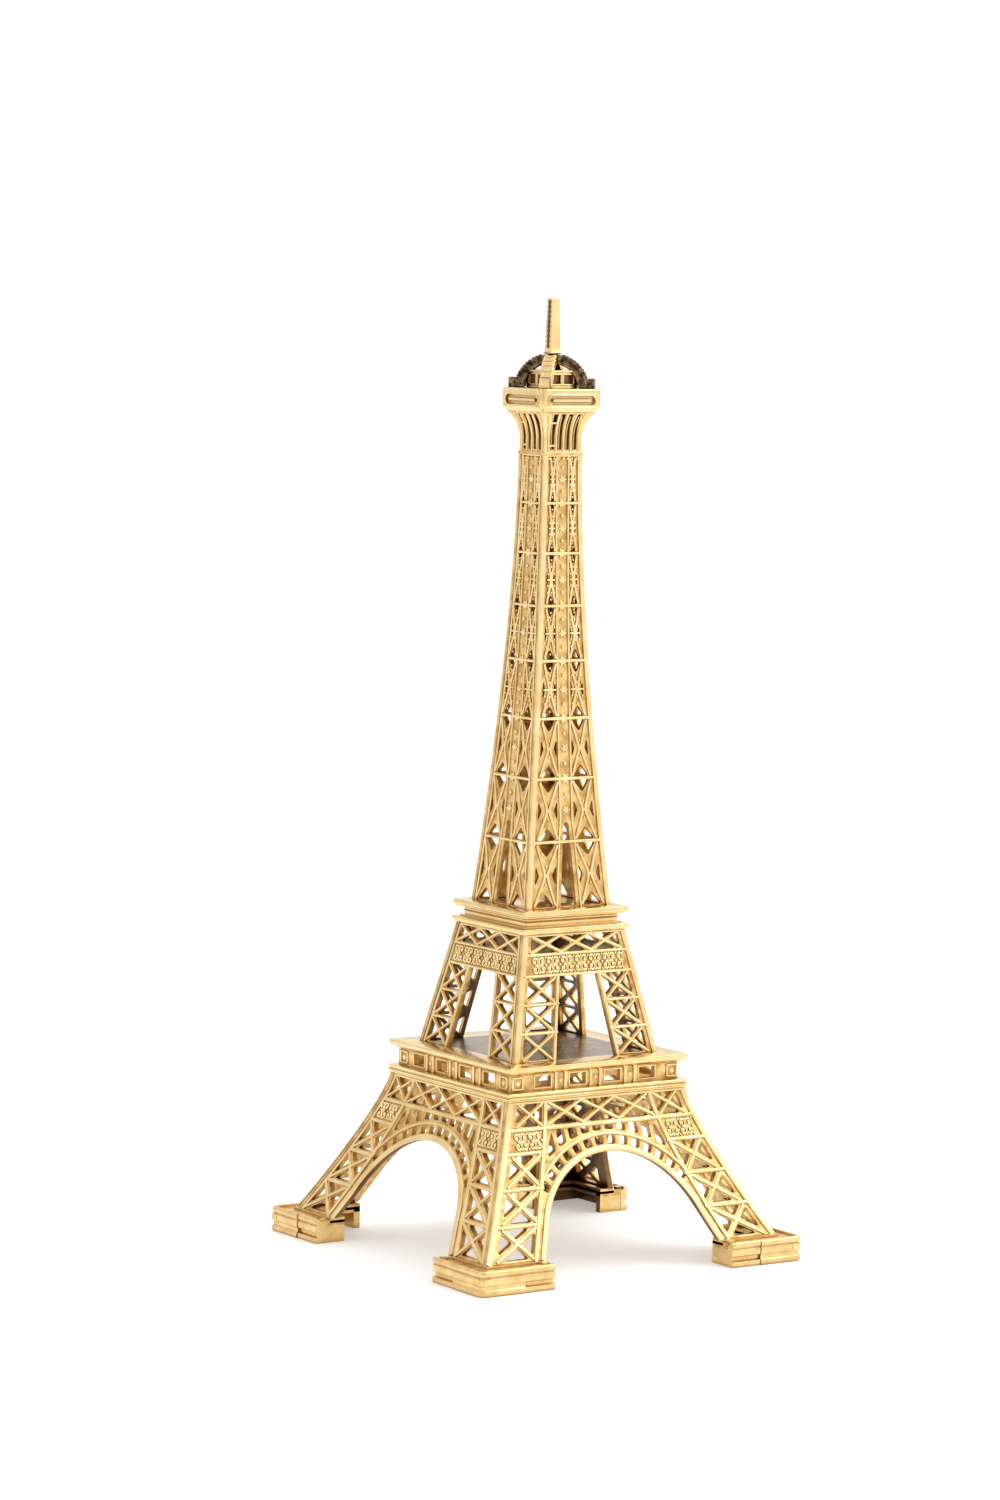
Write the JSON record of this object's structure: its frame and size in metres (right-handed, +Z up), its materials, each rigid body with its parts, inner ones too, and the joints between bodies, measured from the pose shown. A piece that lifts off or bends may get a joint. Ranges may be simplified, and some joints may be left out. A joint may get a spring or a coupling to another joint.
{
  "type": "miniature lattice tower",
  "caption": "Gold-plated cast-metal miniature of a four-legged lattice tower with arches, two decks, a curved spire and a small cupola; a free-standing desk ornament.",
  "frame": {"origin": "centre of the square the four feet stand on, at floor level", "axes": "+Z up along the tower's axis; -Y is the front face, and the four faces are alike"},
  "size_m": [0.061, 0.061, 0.15],
  "materials": {
    "gold_plate": "pale gold plating on a zinc casting, semi-gloss, with darker recesses",
    "antique_gold": "the same plating, toned darker on one of the two cupola arches"
  },
  "bodies": {
    "root": {"antenna": "gold_plate", "cabin": "gold_plate", "capital": "gold_plate", "cupola_arch_lower": "gold_plate", "cupola_arch_upper": "antique_gold", "first_cornice": "gold_plate", "first_deck": "gold_plate", "foot_front_left": "gold_plate", "foot_front_right": "gold_plate", "foot_rear_left": "gold_plate", "foot_rear_right": "gold_plate", "gallery_wall_front": "gold_plate", "gallery_wall_left": "gold_plate", "gallery_wall_rear": "gold_plate", "gallery_wall_right": "gold_plate", "lower_panel_front": "gold_plate", "lower_panel_left": "gold_plate", "lower_panel_rear": "gold_plate", "lower_panel_right": "gold_plate", "middle_panel_front": "gold_plate", "middle_panel_left": "gold_plate", "middle_panel_rear": "gold_plate", "middle_panel_right": "gold_plate", "second_cornice": "gold_plate", "second_deck": "gold_plate", "spire_panel_front": "gold_plate", "spire_panel_left": "gold_plate", "spire_panel_rear": "gold_plate", "spire_panel_right": "gold_plate", "top_platform": "gold_plate"}
  },
  "joints": []
}
